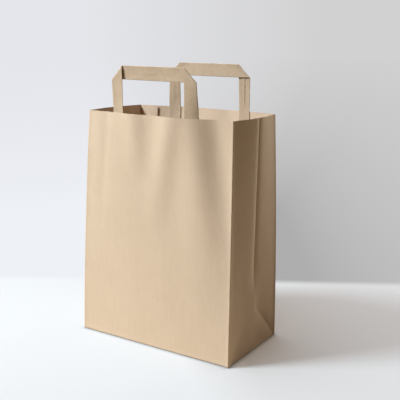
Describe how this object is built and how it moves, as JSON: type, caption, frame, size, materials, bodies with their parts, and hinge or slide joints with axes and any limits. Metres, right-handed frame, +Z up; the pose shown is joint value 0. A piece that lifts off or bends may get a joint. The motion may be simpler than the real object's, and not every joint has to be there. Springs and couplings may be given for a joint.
{
  "type": "paper carrier bag",
  "caption": "Standing kraft paper carrier bag with side gussets, a folded block bottom and flat paper-strip handles glued inside its mouth.",
  "frame": {"origin": "middle of the base, on the surface the bag stands on", "axes": "+Z up towards the mouth and handles, +X along the width to the right as seen from the front, +Y from the front wall to the rear wall"},
  "size_m": [0.2504, 0.1606, 0.3982],
  "materials": {
    "kraft_sheet": "matte",
    "kraft_strip": "matte",
    "kraft_patch": "matte"
  },
  "bodies": {
    "root": {"bag_body": "kraft_sheet", "front_handle": "kraft_strip", "rear_handle": "kraft_strip", "front_handle_patch": "kraft_patch", "rear_handle_patch": "kraft_patch"}
  },
  "joints": []
}
